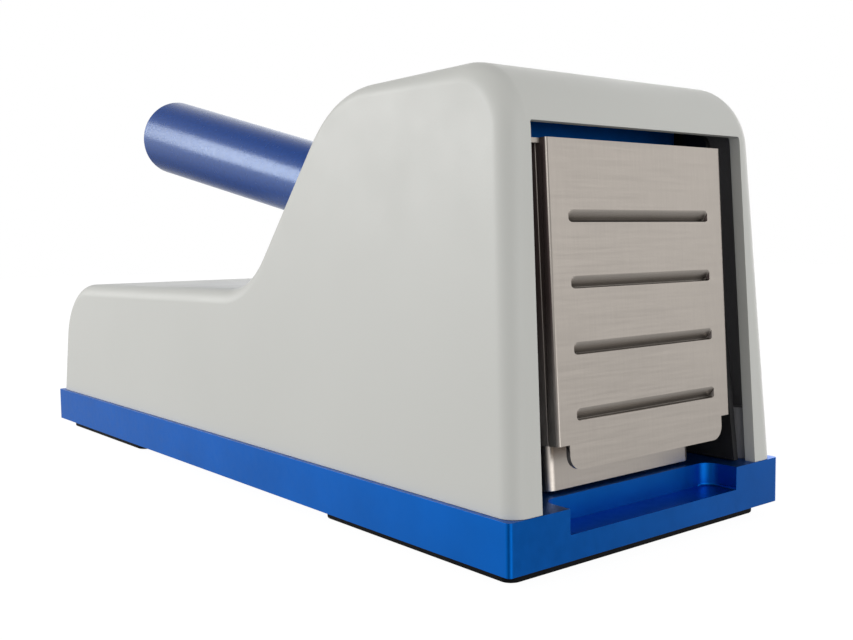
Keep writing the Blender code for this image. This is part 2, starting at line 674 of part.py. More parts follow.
def make_lever(pivot):
    blue = MATERIALS["blue_aluminium"]
    along_handle = (math.radians(HANDLE_RISE) - math.pi / 2, 0.0, 0.0)
    shape = extruded_shape(lever_outline(), -CHEEK_HALF, CHEEK_HALF, "YZ")
    lever = add("lever_head", shape, bench(0, 0, 0), blue, parent=pivot)
    mouth = bench(0, *handle_point(HANDLE_LENGTH))
    barrel_shape = rod_shape(BARREL_RADIUS, -BARREL_HALF, BARREL_HALF, 40)
    barrel = add("barrel", barrel_shape, bench(0, *PIVOT), turn=ALONG_X)
    socket = add("socket", rod_shape(SOCKET_RADIUS, -SOCKET_LENGTH, 0.0, 36), mouth, turn=along_handle)
    brow = box_shape((-BROW_HALF, BROW_Y[0], BROW_Z[0]), (BROW_HALF, BROW_Y[1], BROW_Z[1]))
    join(lever, barrel, socket, add("brow", brow, bench(0, 0, 0)))
    gap_front, gap_rear = ROLLER[0] - 9.0, ROLLER[0] + ROLLER_RADIUS + 2.0
    gap_half = ROLLER_HALF + GAP
    roller_gap = box_shape((-gap_half, gap_front, ROLLER[1] - 9.0), (gap_half, gap_rear, ROLLER[1] + 8.5))
    cross = bench(0, *handle_point(HANDLE_LENGTH + CROSS_PIN_BACK))
    cross_hole = hole("cross_pin_hole", CROSS_PIN_RADIUS + GAP, -25.0, 25.0, cross, ALONG_X)
    cut(
        lever,
        hole("pivot_bore", PIVOT_PIN_RADIUS + GAP, -40.0, 40.0, bench(0, *PIVOT), ALONG_X),
        hole("spigot_bore", SPIGOT_RADIUS + GAP, -SPIGOT_LENGTH - 2.0, 5.0, mouth, along_handle),
        add("roller_gap", roller_gap, bench(0, 0, 0)),
        hole("roller_pin_hole", ROLLER_PIN_RADIUS + GAP, -25.0, 25.0, bench(0, *ROLLER), ALONG_X),
        cross_hole,
    )
    end = HANDLE_LENGTH
    profile = [
        (HANDLE_END_RADIUS - 1.0, end), (HANDLE_END_RADIUS - 0.3, end - 0.3), (HANDLE_END_RADIUS, end - 1.0),
        (HANDLE_ROOT_RADIUS, GAP), (SPIGOT_RADIUS, GAP), (SPIGOT_RADIUS, -SPIGOT_LENGTH),
        (HANDLE_BORE, -SPIGOT_LENGTH), (HANDLE_BORE, end - PLUG_LENGTH - 1.0),
        (PLUG_RADIUS + GAP, end - PLUG_LENGTH - 1.0), (PLUG_RADIUS + GAP, end),
    ]
    tube = turned("handle_tube", profile, mouth, blue, along_handle, pivot, steps=40)
    cut(tube, cross_hole)
    plug = [
        (0.0, end - 0.2), (PLUG_RADIUS - 0.5, end - 0.2), (PLUG_RADIUS, end - 0.7),
        (PLUG_RADIUS, end - PLUG_LENGTH), (0.0, end - PLUG_LENGTH),
    ]
    turned("handle_end_plug", plug, mouth, blue, along_handle, pivot, steps=32)
    steel = MATERIALS["bright_steel"]
    add("handle_cross_pin", rod_shape(CROSS_PIN_RADIUS, -14.0, 14.0, 20), cross, steel, ALONG_X, pivot)
    roller_pin = rod_shape(ROLLER_PIN_RADIUS, -CHEEK_HALF, CHEEK_HALF, 20)
    add("roller_pin", roller_pin, bench(0, *ROLLER), steel, ALONG_X, pivot)
    ring(
        "press_roller", ROLLER_PIN_RADIUS + GAP, ROLLER_RADIUS, -ROLLER_HALF, ROLLER_HALF, bench(0, *ROLLER),
        steel, ALONG_X, pivot, steps=32,
    )


def make_pivot():
    pin_half = WEB_OUTSIDE + 2.4
    dark = MATERIALS["dark_steel"]
    place = bench(0, *PIVOT)
    pin = rod_shape(PIVOT_PIN_RADIUS, -pin_half, pin_half)
    add("pivot_pin", pin, place, MATERIALS["bright_steel"], ALONG_X)
    bore = PIVOT_PIN_RADIUS + GAP
    flange = (BARREL_HALF + GAP, WEB_INSIDE - GAP)
    for side, x_sign in (("left", -1), ("right", 1)):
        profile = [
            (8.0, flange[1]), (8.0, flange[0]), (bore, flange[0]), (bore, WEB_OUTSIDE), (5.7, WEB_OUTSIDE),
            (5.7, flange[1]),
        ]
        turned(f"pivot_bush_{side}", profile, place, MATERIALS["bearing_bronze"], outward(x_sign), steps=28)
        clip = WEB_OUTSIDE + GAP
        ring(f"pivot_clip_{side}", bore, 7.0, clip, clip + CLIP_THICKNESS, place, dark, outward(x_sign))


def make_housing_screws():
    head_down = (math.pi, 0.0, 0.0)
    for name, (x, y) in zip(("front_left", "front_right", "rear_left", "rear_right"), BOSSES):
        steel = MATERIALS["bright_steel"]
        pan_screw(f"housing_screw_{name}", 1.5, 3.1, 2.4, 16.0, bench(x, y, 6.7), head_down, steel)


def joint_origin(name, y, z):
    """An empty on a joint's axis, which the moving pieces are parented to."""
    empty = bpy.data.objects.new(name, None)
    empty.location = bench(0, y, z)
    PARTS.objects.link(empty)
    return empty


def main():
    make_base()
    make_housing()
    make_chassis()
    make_cross_members()
    make_front_plate()
    make_platen(joint_origin("platen_origin", PLATE_FRONT + PLATEN_GAP, ROD_Z))
    make_lever(joint_origin("pivot_origin", *PIVOT))
    make_pivot()
    make_housing_screws()


main()
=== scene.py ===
"""The looks of the bench tablet crusher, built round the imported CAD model.

Shapes are worked out in millimetres in the CAD's own layout: x across, y back from the front edge of the
base, z up from the bench. bench() turns them into the row frame's metres."""

import json
import math

import bmesh
import bpy
from mathutils import Matrix, Vector


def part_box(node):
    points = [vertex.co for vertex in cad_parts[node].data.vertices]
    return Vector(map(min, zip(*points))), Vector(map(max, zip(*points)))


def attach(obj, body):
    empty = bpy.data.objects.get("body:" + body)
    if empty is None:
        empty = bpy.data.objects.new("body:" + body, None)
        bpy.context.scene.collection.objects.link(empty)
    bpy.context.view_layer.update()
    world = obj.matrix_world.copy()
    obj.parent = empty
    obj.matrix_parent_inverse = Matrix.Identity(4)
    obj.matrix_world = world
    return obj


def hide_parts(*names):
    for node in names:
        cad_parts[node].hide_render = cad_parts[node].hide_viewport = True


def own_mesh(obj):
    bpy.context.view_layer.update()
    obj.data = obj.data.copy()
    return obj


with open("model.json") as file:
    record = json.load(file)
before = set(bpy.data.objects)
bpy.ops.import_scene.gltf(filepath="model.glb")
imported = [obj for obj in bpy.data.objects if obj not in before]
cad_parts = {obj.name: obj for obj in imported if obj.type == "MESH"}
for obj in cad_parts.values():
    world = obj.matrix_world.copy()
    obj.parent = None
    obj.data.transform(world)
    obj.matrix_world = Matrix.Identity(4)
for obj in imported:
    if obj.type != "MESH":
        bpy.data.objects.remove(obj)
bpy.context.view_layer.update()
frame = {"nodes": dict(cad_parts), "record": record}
NODES = frame["nodes"]
MM = 0.001
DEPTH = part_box("base_plate")[1].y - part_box("base_plate")[0].y

# Heights, lean and gap that several pieces share
BASE_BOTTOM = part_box("base_plate")[0].z / MM
BASE_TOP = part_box("base_plate")[1].z / MM
SHELL_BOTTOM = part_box("housing_shell")[0].z / MM
GAP = 0.3
FRONT_LEAN = 0.057  # how far the front and the plates lean back for each millimetre up
LEAN = math.atan(FRONT_LEAN)


def bench(x, y, z):
    """A point in the row frame from millimetres across, back from the base's front edge, and up."""
    return Vector((x * MM, y * MM - DEPTH / 2, z * MM))


# ---------------------------------------------------------------- mesh tools


def arc_corner(corners, i, steps):
    """The points that round corner i of a list of (u, v, radius) corners."""
    u, v, radius = corners[i]
    here = Vector((u, v))
    if not radius:
        return [here]
    back = (Vector(corners[i - 1][:2]) - here).normalized()
    ahead = (Vector(corners[(i + 1) % len(corners)][:2]) - here).normalized()
    half = back.angle(ahead) / 2
    centre = here + (back + ahead).normalized() * (radius / math.sin(half))
    first = here + back * (radius / math.tan(half)) - centre
    last = here + ahead * (radius / math.tan(half)) - centre
    sweep = first.angle_signed(last)
    return [centre + Matrix.Rotation(-sweep * n / steps, 2) @ first for n in range(steps + 1)]


def outline(corners, steps=8):
    """The points of a closed outline from its (u, v, radius) corners."""
    return [point for i in range(len(corners)) for point in arc_corner(corners, i, steps)]


def rectangle(low_u, high_u, low_v, high_v, radius=0.0, steps=8):
    corners = [(low_u, low_v), (high_u, low_v), (high_u, high_v), (low_u, high_v)]
    return outline([(*corner, radius) for corner in corners], steps)


def mesh_object(name, shape, material=None, place=None):
    """An object from a shape in bench millimetres. With no material it is a cutter, linked nowhere."""
    if place is not None:
        bmesh.ops.transform(shape, matrix=place, verts=shape.verts)
    bmesh.ops.recalc_face_normals(shape, faces=shape.faces)
    for vert in shape.verts:
        vert.co = bench(*vert.co)
    mesh = bpy.data.meshes.new(name)
    shape.to_mesh(mesh)
    shape.free()
    thing = bpy.data.objects.new(name, mesh)
    if material:
        mesh.materials.append(material)
        bpy.context.scene.collection.objects.link(thing)
    mesh.shade_smooth()
    return thing


def prism(points, low, high, plane="XY"):
    """An outline in the named plane, extruded along the third axis."""
    order = {"XY": (0, 1, 2), "YZ": (1, 2, 0), "XZ": (0, 2, 1)}[plane]
    shape = bmesh.new()
    ends = []
    for level in (low, high):
        ring = []
        for u, v in points:
            spot = [0.0, 0.0, 0.0]
            for axis, value in zip(order, (u, v, level)):
                spot[axis] = value
            ring.append(shape.verts.new(spot))
        ends.append(ring)
    bottom, top = ends
    shape.faces.new(bottom)
    shape.faces.new(top[::-1])
    for i in range(len(bottom)):
        j = (i + 1) % len(bottom)
        shape.faces.new((bottom[i], bottom[j], top[j], top[i]))
    return shape


def lathe(profile, steps=64):
    """A closed profile of (radius, height) turned round Z. Points on the axis become one."""
    shape = bmesh.new()
    rings = []
    for radius, height in profile:
        if radius < 1e-6:
            rings.append([shape.verts.new((0.0, 0.0, height))] * steps)
            continue
        turns = [2 * math.pi * n / steps for n in range(steps)]
        rings.append([shape.verts.new((radius * math.cos(a), radius * math.sin(a), height)) for a in turns])
    for lower, upper in zip(rings, rings[1:] + rings[:1]):
        for n in range(steps):
            m = (n + 1) % steps
            corners = []
            for vert in (lower[n], lower[m], upper[m], upper[n]):
                if vert not in corners:
                    corners.append(vert)
            if len(corners) > 2:
                shape.faces.new(corners)
    return shape


def along(axis, place):
    """The matrix that turns Z to lie along an axis and moves the origin to a place."""
    turn = {"X": Matrix.Rotation(math.pi / 2, 4, "Y"), "Y": Matrix.Rotation(-math.pi / 2, 4, "X"), "Z": Matrix()}
    return Matrix.Translation(place) @ turn[axis]


def boolean(target, shape_object, operation="DIFFERENCE"):
    """Cuts a shape out of the target, or joins it on."""
    modifier = target.modifiers.new(shape_object.name, "BOOLEAN")
    modifier.operation = operation
    modifier.solver = "EXACT"
    modifier.object = shape_object


def bevel(target, width, segments=2, angle=40):
    modifier = target.modifiers.new("edges", "BEVEL")
    modifier.width = width * MM
    modifier.segments = segments
    modifier.limit_method = "ANGLE"
    modifier.angle_limit = math.radians(angle)
    modifier.harden_normals = False


def weigh_normals(target):
    modifier = target.modifiers.new("normals", "WEIGHTED_NORMAL")
    modifier.mode = "FACE_AREA_WITH_ANGLE"
    modifier.weight = 80
    modifier.keep_sharp = True


def shade_flat(thing, normal):
    """Shades the faces that look straight along a direction as flat, so that they keep no trace of their edges."""
    for face in thing.data.polygons:
        if abs(face.normal.dot(normal)) > 0.99995:
            face.use_smooth = False


def apply_modifiers(thing):
    """Turns the object's modifiers into its mesh, so that its cutters can go."""
    graph = bpy.context.evaluated_depsgraph_get()
    mesh = bpy.data.meshes.new_from_object(thing.evaluated_get(graph), depsgraph=graph)
    cutters = [m.object for m in thing.modifiers if m.type == "BOOLEAN"]
    thing.modifiers.clear()
    thing.data = mesh
    for cutter in cutters:
        bpy.data.objects.remove(cutter, do_unlink=True)
    return thing


def finish_piece(thing, body, slot, *nodes):
    """Rides the piece on its CAD body in place of the nodes that it stands for."""
    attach(thing, body)
    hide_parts(*nodes)
    return thing


# ---------------------------------------------------------------- materials


class Shader:
    """A Principled material with short calls for the nodes that feed it."""

    def __init__(self, name, colour, roughness, metallic):
        self.material = bpy.data.materials.new(name)
        self.material.use_nodes = True
        self.nodes = self.material.node_tree.nodes
        self.links = self.material.node_tree.links
        self.shader = self.nodes["Principled BSDF"]
        self.put("Base Color", (*colour, 1.0))
        self.put("Roughness", roughness)
        self.put("Metallic", metallic)
        self.place = self.nodes.new("ShaderNodeTexCoord").outputs["Object"]

    def put(self, socket, value):
        self.shader.inputs[socket].default_value = value

    def link(self, socket, output):
        self.links.new(output, self.shader.inputs[socket])

    def noise(self, scale, stretch=(1, 1, 1), detail=4.0, roughness=0.55, turn=(0, 0, 0)):
        mapping = self.nodes.new("ShaderNodeMapping")
        mapping.inputs["Scale"].default_value = stretch
        mapping.inputs["Rotation"].default_value = turn
        self.links.new(self.place, mapping.inputs["Vector"])
        texture = self.nodes.new("ShaderNodeTexNoise")
        texture.inputs["Scale"].default_value = scale
        texture.inputs["Detail"].default_value = detail
        texture.inputs["Roughness"].default_value = roughness
        self.links.new(mapping.outputs["Vector"], texture.inputs["Vector"])
        return texture.outputs["Fac"]

    def ramp(self, source, low, high, start=0.3, end=0.7):
        """Maps a texture's value from start..end to low..high, which are numbers or colours."""
        if isinstance(low, tuple):
            node = self.nodes.new("ShaderNodeMix")
            node.data_type = "RGBA"
            span = self.ramp(source, 0.0, 1.0, start, end)
            self.links.new(span, node.inputs["Factor"])
            node.inputs["A"].default_value = (*low, 1.0)
            node.inputs["B"].default_value = (*high, 1.0)
            return node.outputs["Result"]
        node = self.nodes.new("ShaderNodeMapRange")
        for socket, value in zip(("From Min", "From Max", "To Min", "To Max"), (start, end, low, high)):
            node.inputs[socket].default_value = value
        self.links.new(source, node.inputs["Value"])
        return node.outputs["Result"]

    def bump(self, *layers):
        """Bumps on bumps: each layer is (texture output, height in metres)."""
        previous = None
        for source, height in layers:
            node = self.nodes.new("ShaderNodeBump")
            node.inputs["Strength"].default_value = 1.0
            node.inputs["Distance"].default_value = height
            self.links.new(source, node.inputs["Height"])
            if previous:
                self.links.new(previous, node.inputs["Normal"])
            previous = node.outputs["Normal"]
        self.link("Normal", previous)


def shell_plastic():
    m = Shader("shell_plastic_fine_texture", (0.60, 0.60, 0.57), 0.42, 0.0)
    cloud = m.noise(14.0, detail=2.0)
    m.link("Base Color", m.ramp(cloud, (0.612, 0.615, 0.582), (0.632, 0.635, 0.602)))
    grain = m.noise(1800.0, detail=3.0)
    m.link("Roughness", m.ramp(m.noise(60.0, detail=5.0), 0.38, 0.50))
    m.bump((grain, 0.000018), (m.noise(90.0, detail=2.0), 0.00002))
    m.put("Specular IOR Level", 0.45)
    return m.material


def shades(colour, spread):
    """A colour a little darker and a little lighter, for a ramp."""
    return tuple(c * (1 - spread) for c in colour), tuple(min(1.0, c * (1 + spread)) for c in colour)


def blue_anodised():
    colour, roughness = (0.001, 0.125, 0.53), 0.38
    m = Shader("blue_anodised", colour, roughness, 0.97)
    m.link("Base Color", m.ramp(m.noise(55.0, detail=3.0), *shades(colour, 0.06)))
    m.link("Roughness", m.ramp(m.noise(420.0, detail=4.0), roughness - 0.04, roughness + 0.05))
    m.bump((m.noise(1500.0, detail=4.0, roughness=0.65), 0.000012))
    return m.material


def blasted_blue():
    """The grip's bead-blasted anodising: a finely mottled satin with a pale sheen."""
    m = Shader("blue_anodised_blasted", (0.003, 0.052, 0.28), 0.25, 0.05)
    mottle = m.noise(900.0, detail=3.0, roughness=0.6)
    m.link("Base Color", m.ramp(mottle, (0.002, 0.043, 0.24), (0.004, 0.062, 0.33)))
    m.link("Roughness", m.ramp(m.noise(500.0, detail=3.0), 0.22, 0.28))
    m.put("Specular IOR Level", 0.75)
    m.put("Specular Tint", (0.75, 0.92, 1.0, 1.0))
    m.bump((mottle, 0.00004))
    return m.material


def brushed_steel(name="brushed_stainless"):
    """Warm grey stainless sheet, brushed upright with a faint cross brushing."""
    colour = (0.645, 0.587, 0.53)
    m = Shader(name, colour, 0.36, 1.0)
    streaks = m.noise(260.0, stretch=(7.0, 7.0, 0.2), detail=6.0, roughness=0.7)
    across = m.noise(260.0, stretch=(0.2, 7.0, 6.0), detail=5.0, roughness=0.65)
    m.link("Base Color", m.ramp(streaks, *shades(colour, 0.03)))
    m.link("Roughness", m.ramp(across, 0.28, 0.40))
    m.bump((streaks, 0.0000025), (across, 0.0000025))
    return m.material


def pressed_steel():
    """The brushed sheet of the front plate, darkened in its hollows by painted shade from an occlusion node."""
    material = brushed_steel("pressed_stainless_painted_shade")
    tree = material.node_tree
    # Painted shade: the occlusion value scales down the steel's colour in the grooves and other hollows.
    painted_recess_shade = tree.nodes.new("ShaderNodeAmbientOcclusion")
    painted_recess_shade.samples = 8
    painted_recess_shade.inputs["Distance"].default_value = 0.004
    clear = tree.nodes.new("ShaderNodeMapRange")
    for socket, value in zip(("From Min", "From Max", "To Min", "To Max"), (0.35, 0.92, 0.12, 1.0)):
        clear.inputs[socket].default_value = value
    tree.links.new(painted_recess_shade.outputs["AO"], clear.inputs["Value"])
    tint = tree.nodes.new("ShaderNodeVectorMath")
    tint.operation = "SCALE"
    socket = tree.nodes["Principled BSDF"].inputs["Base Color"]
    tree.links.new(socket.links[0].from_socket, tint.inputs[0])
    tree.links.new(clear.outputs["Result"], tint.inputs["Scale"])
    tree.links.new(tint.outputs["Vector"], socket)
    return material


def side_painted_shade():
    """The plate's bent sides: painted shade, a dark reddish grey with grain, turning lighter grey towards the foot."""
    m = Shader("side_painted_shade", (0.10, 0.075, 0.072), 0.5, 0.4)
    height = m.nodes.new("ShaderNodeSeparateXYZ")
    m.links.new(m.place, height.inputs["Vector"])
    lighter_below = m.ramp(height.outputs["Z"], 1.0, 0.0, 0.022, 0.062)
    grain = m.ramp(m.noise(420.0, stretch=(1, 1, 0.25), detail=5.0, roughness=0.7), 0.5, 1.5)
    # Painted shade: the dark colour A gives way to the lighter grey B towards the foot.
    blend = m.nodes.new("ShaderNodeMix")
    blend.data_type = "RGBA"
    blend.inputs["A"].default_value = (0.11, 0.08, 0.076, 1.0)
    blend.inputs["B"].default_value = (0.34, 0.32, 0.30, 1.0)
    share = m.nodes.new("ShaderNodeMath")
    share.operation = "MULTIPLY"
    share.use_clamp = True
    m.links.new(lighter_below, share.inputs[0])
    m.links.new(grain, share.inputs[1])
    m.links.new(share.outputs[0], blend.inputs["Factor"])
    m.link("Base Color", blend.outputs["Result"])
    m.bump((m.noise(700.0, detail=5.0, roughness=0.7), 0.00003))
    return m.material


def shell_inside_shade():
    """Painted shade: a darker grey for the inside of the housing, where its shadow falls."""
    m = Shader("shell_inside_shade", (0.32, 0.32, 0.335), 0.8, 0.0)
    m.link("Base Color", m.ramp(m.noise(40.0), (0.30, 0.30, 0.315), (0.34, 0.34, 0.355)))
    m.bump((m.noise(900.0, detail=3.0), 0.00003))
    return m.material


def turned_steel():
    m = Shader("turned_steel", (0.42, 0.42, 0.43), 0.28, 1.0)
    streaks = m.noise(500.0, stretch=(8.0, 0.6, 0.6), detail=4.0)
    m.link("Roughness", m.ramp(streaks, 0.22, 0.40))
    m.bump((streaks, 0.000006))
    return m.material


def black_oxide():
    m = Shader("black_oxide_steel", (0.035, 0.035, 0.037), 0.5, 0.6)
    m.link("Base Color", m.ramp(m.noise(80.0), (0.028, 0.028, 0.030), (0.045, 0.045, 0.046)))
    m.link("Roughness", m.ramp(m.noise(300.0), 0.42, 0.6))
    m.bump((m.noise(900.0), 0.00001))
    return m.material


def bronze():
    m = Shader("sintered_bronze", (0.40, 0.24, 0.10), 0.45, 1.0)
    m.link("Base Color", m.ramp(m.noise(700.0), (0.30, 0.17, 0.07), (0.46, 0.28, 0.12)))
    m.bump((m.noise(1600.0), 0.00002))
    return m.material


def rubber():
    m = Shader("black_rubber", (0.003, 0.003, 0.004), 0.7, 0.0)
    m.put("Specular IOR Level", 0.12)
    m.link("Base Color", m.ramp(m.noise(150.0), (0.002, 0.002, 0.003), (0.005, 0.005, 0.006)))
    m.link("Roughness", m.ramp(m.noise(500.0), 0.55, 0.75))
    m.bump((m.noise(1200.0), 0.00004))
    return m.material


# ---------------------------------------------------------------- housing

SHELL_HALF = 48.6
SIDE_DRAFT = 0.047
WALL = 3.0
OPENING_HALF = 39.7
OPENING_TAPER = 0.019
OPENING_TOP = 100.9
SLOT_HALF = 15.0
SLOT_SPAN = (61.2, 97.5)
BOSSES = ((-43.6, 7.5), (43.6, 7.5), (-42.6, 262.4), (42.6, 262.4))
ROOF_FRONT = 115.4
ROOF_REAR = (74.0, 114.25)
SLOPE_FOOT = (118.5, 61.0)
DECK_REAR = (266.2, 58.3)
SHELL_REAR = 268.8


def shell_half(z):
    """Half the housing's width at a height."""
    return SHELL_HALF - SIDE_DRAFT * (z - BASE_TOP)


def shell_front(z):
    """How far back the housing's front is at a height."""
    return 0.2 + FRONT_LEAN * (z - BASE_TOP)


def shell_side_profile():
    """(point, inward normal, edge radius) along the housing's side view, from the front's foot to the rear's."""
    corners = [
        (shell_front(SHELL_BOTTOM), SHELL_BOTTOM, 0.0), (shell_front(ROOF_FRONT), ROOF_FRONT, 17.5),
        (*ROOF_REAR, 35.0), (*SLOPE_FOOT, 30.0), (*DECK_REAR, 22.0), (SHELL_REAR, SHELL_BOTTOM, 0.0),
    ]
    radii = (4.5, 5.7, 3.0, 5.0, 4.6, 3.6)
    points, spots = [], []
    for i, steps in enumerate((0, 20, 24, 18, 20, 0)):
        for n, point in enumerate(arc_corner(corners, i, max(steps, 1))):
            points.append(point)
            spots.append(i)
    lengths = [0.0]
    for a, b in zip(points, points[1:]):
        lengths.append(lengths[-1] + (b - a).length)
    middles = [sum(lengths[k] for k, s in enumerate(spots) if s == i) / spots.count(i) for i in range(6)]
    rows = []
    for k, point in enumerate(points):
        before, after = points[max(k - 1, 0)], points[min(k + 1, len(points) - 1)]
        way = ((point - before).normalized() + (after - point).normalized()).normalized()
        inward = Vector((way.y, -way.x))
        i = max(n for n in range(6) if middles[n] <= lengths[k] + 1e-9)
        j = min(i + 1, 5)
        share = 0.0 if i == j else (lengths[k] - middles[i]) / (middles[j] - middles[i])
        rows.append((point, inward, radii[i] + (radii[j] - radii[i]) * share))
    return rows


def split_rows(rows, longest=14.0):
    """Adds rows on the long straight stretches, so that the edge radius can change along them."""
    full = [rows[0]]
    for row in rows[1:]:
        point, inward, radius = full[-1]
        count = max(1, math.ceil((row[0] - point).length / longest))
        for n in range(1, count + 1):
            share = n / count
            full.append(
                (point.lerp(row[0], share), inward.lerp(row[1], share).normalized(), radius + (row[2] - radius) * share)
            )
    return full


def shell_surface():
    """The housing's outer skin, open underneath: a strip round the side view, with rounded edges into flat sides."""
    shape = bmesh.new()
    turns = [math.radians(90 * n / 8) for n in range(9)]
    grid = []
    for point, inward, radius in split_rows(shell_side_profile()):
        half_row = []
        for a in turns:
            y, z = point + inward * (radius * (1 - math.cos(a)))
            z = max(z, SHELL_BOTTOM)
            half_row.append((shell_half(z) - radius * (1 - math.sin(a)), y, z))
        row = [(-x, y, z) for x, y, z in reversed(half_row)] + half_row
        grid.append([shape.verts.new(spot) for spot in row])
    for a, b in zip(grid, grid[1:]):
        for i in range(len(a) - 1):
            shape.faces.new((a[i], a[i + 1], b[i + 1], b[i]))
    shape.faces.new([row[0] for row in grid])
    shape.faces.new([row[-1] for row in reversed(grid)])
    return shape


def make_housing(material, inside_shade):
    """The moulded cover: an open surface thickened inwards, with its front opening, handle slot and screw bosses."""
    housing = mesh_object("housing", shell_surface(), material)
    housing.data.materials.append(inside_shade)
    bm = bmesh.new()
    bm.from_mesh(housing.data)
    bmesh.ops.recalc_face_normals(bm, faces=bm.faces)
    top_face = max(bm.faces, key=lambda f: f.calc_center_median().z)
    if top_face.normal.z < 0:
        bmesh.ops.reverse_faces(bm, faces=bm.faces)
    bm.to_mesh(housing.data)
    bm.free()
    wall = housing.modifiers.new("wall", "SOLIDIFY")
    wall.thickness = WALL * MM
    wall.offset = -1.0
    wall.use_even_offset = True
    # The inner faces and the bosses take the painted-shade grey.
    wall.material_offset = 1
    low = OPENING_HALF + OPENING_TAPER * 5.0
    high = OPENING_HALF - OPENING_TAPER * (OPENING_TOP - BASE_TOP)
    opening = outline(
        [(-low, BASE_TOP - 5.0, 0.0), (low, BASE_TOP - 5.0, 0.0), (high, OPENING_TOP, 0.6), (-high, OPENING_TOP, 0.6)]
    )
    slot = rectangle(-SLOT_HALF, SLOT_HALF, *SLOT_SPAN, SLOT_HALF - 0.01, 16)
    boolean(housing, mesh_object("cut_opening", prism(opening, -10.0, 14.0, "XZ")))
    boolean(housing, mesh_object("cut_slot", prism(slot, 70.0, 140.0, "XZ")))
    for i, (x, y) in enumerate(BOSSES):
        boss = lathe([(0.0, SHELL_BOTTOM), (3.4, SHELL_BOTTOM), (3.4, 29.0), (0.0, 29.0)], 24)
        bore = lathe([(0.0, 5.0), (1.8, 5.0), (1.8, 26.0), (0.0, 26.0)], 20)
        boolean(housing, mesh_object(f"boss_{i}", boss, inside_shade, Matrix.Translation((x, y, 0))), "UNION")
        boolean(housing, mesh_object(f"bore_{i}", bore, place=Matrix.Translation((x, y, 0))))
    bevel(housing, 0.35, 2, 50)
    weigh_normals(housing)
    finish_piece(apply_modifiers(housing), "chassis", "shell_plastic", "housing_shell")


# ---------------------------------------------------------------- base and feet

NOTCH_HALF = 31.2
NOTCH_DEPTH = 9.2
NOTCH_FLOOR = 9.2


def soften_low_edges(shape, level, width):
    """Bevels the edges of a cutter's bottom, so that the pocket it leaves has a small fillet round its floor."""
    edges = [e for e in shape.edges if all(abs(v.co.z - level) < 1e-5 for v in e.verts)]
    bmesh.ops.bevel(shape, geom=edges, offset=width, segments=3, profile=0.5, affect="EDGES")
    return shape


def make_base(blue, black):
    base = mesh_object("base", prism(rectangle(-50.0, 50.0, 0.0, DEPTH / MM, 1.2), BASE_BOTTOM, BASE_TOP), blue)
    half, depth = NOTCH_HALF, NOTCH_DEPTH
    notch = outline([(-half, -5.0, 0.0), (half, -5.0, 0.0), (half, depth, 4.0), (-half, depth, 4.0)])
    notch_shape = soften_low_edges(prism(notch, NOTCH_FLOOR, BASE_TOP + 5.0), NOTCH_FLOOR, 0.6)
    boolean(base, mesh_object("cut_notch", notch_shape))
    for i, (x, y) in enumerate(BOSSES):
        bore = lathe([(0.0, 0.0), (3.5, 0.0), (3.5, 7.0), (1.9, 7.0), (1.9, 20.0), (0.0, 20.0)], 32)
        boolean(base, mesh_object(f"cut_housing_screw_{i}", bore, place=Matrix.Translation((x, y, 0))))
    for i, (x, y) in enumerate(((-30.5, 32.0), (30.5, 32.0), (-30.5, 58.0), (30.5, 58.0))):
        bore = lathe([(0.0, 8.0), (2.8, 8.0), (2.8, 20.0), (0.0, 20.0)], 24)
        boolean(base, mesh_object(f"cut_foot_screw_{i}", bore, place=Matrix.Translation((x, y, 0))))
    bevel(base, 0.4, 3, 38)
    weigh_normals(base)
    finish_piece(apply_modifiers(base), "chassis", "blue_aluminium", "base_plate")
    for node, span in (("front_foot_pad", (4.0, 78.0)), ("rear_foot_pad", (198.0, 266.0))):
        pad = mesh_object(node.replace("foot_pad", "foot"), prism(rectangle(-46.0, 46.0, *span, 3.0), 0.0, 2.9), black)
        bevel(pad, 0.5, 3, 40)
        weigh_normals(pad)
        finish_piece(apply_modifiers(pad), "chassis", "rubber", node)


# ---------------------------------------------------------------- front plate and platen

SHEET = 1.2
PLATE_HALF = 32.1
PLATE_TOP = 82.6
SHOULDER = 13.5
GROOVE_HALF = 25.6
GROOVES = [64.8 - 15.03 * n for n in range(4)]
GROOVE_SECTION = (
    (-1.0, -1.45), (0.0, -1.42), (1.25, -1.33), (1.4, -1.15), (1.36, -0.85), (1.1, -0.3), (0.7, 0.5), (0.35, 1.1),
    (0.13, 1.55), (0.02, 1.95), (-0.03, 2.2), (-1.0, 2.2),
)  # back from the face, and up from the groove's middle: it slopes in going down, and steps back out at its foot
LEANING = Matrix.Translation((0.0, 2.1, BASE_TOP)) @ Matrix.Rotation(-LEAN, 4, "X")


def channel(half, front, back, thickness, bend, low, high):
    """A sheet bent into a shallow U, seen from above, as an upright prism."""
    outer = [(-half, back, 0.0), (-half, front, bend), (half, front, bend), (half, back, 0.0)]
    inside, face, inner_bend = half - thickness, front + thickness, max(0.1, bend - thickness)
    inner = [(inside, back, 0.0), (inside, face, inner_bend), (-inside, face, inner_bend), (-inside, back, 0.0)]
    return prism(outline(outer, 6) + outline(inner, 6), low, high)


def groove_cutter(height):
    """A pressed groove's hollow, with its section narrowing to nothing at both ends."""
    stations = (
        (-GROOVE_HALF, 0.35), (-GROOVE_HALF + 0.25, 0.72), (-GROOVE_HALF + 0.8, 0.94), (-GROOVE_HALF + 1.6, 1.0),
        (GROOVE_HALF - 1.0, 1.0), (GROOVE_HALF - 0.35, 0.92), (GROOVE_HALF, 0.7),
    )
    shape = bmesh.new()
    rings = []
    for x, share in stations:
        depth = min(1.0, share * 1.15)
        spots = [(x, t if t < 0 else t * depth, height + 0.1 + h * share * 0.84) for t, h in GROOVE_SECTION]
        rings.append([shape.verts.new(spot) for spot in spots])
    for a, b in zip(rings, rings[1:]):
        for i in range(len(a)):
            j = (i + 1) % len(a)
            shape.faces.new((a[i], a[j], b[j], b[i]))
    shape.faces.new(rings[0])
    shape.faces.new(rings[-1][::-1])
    return shape


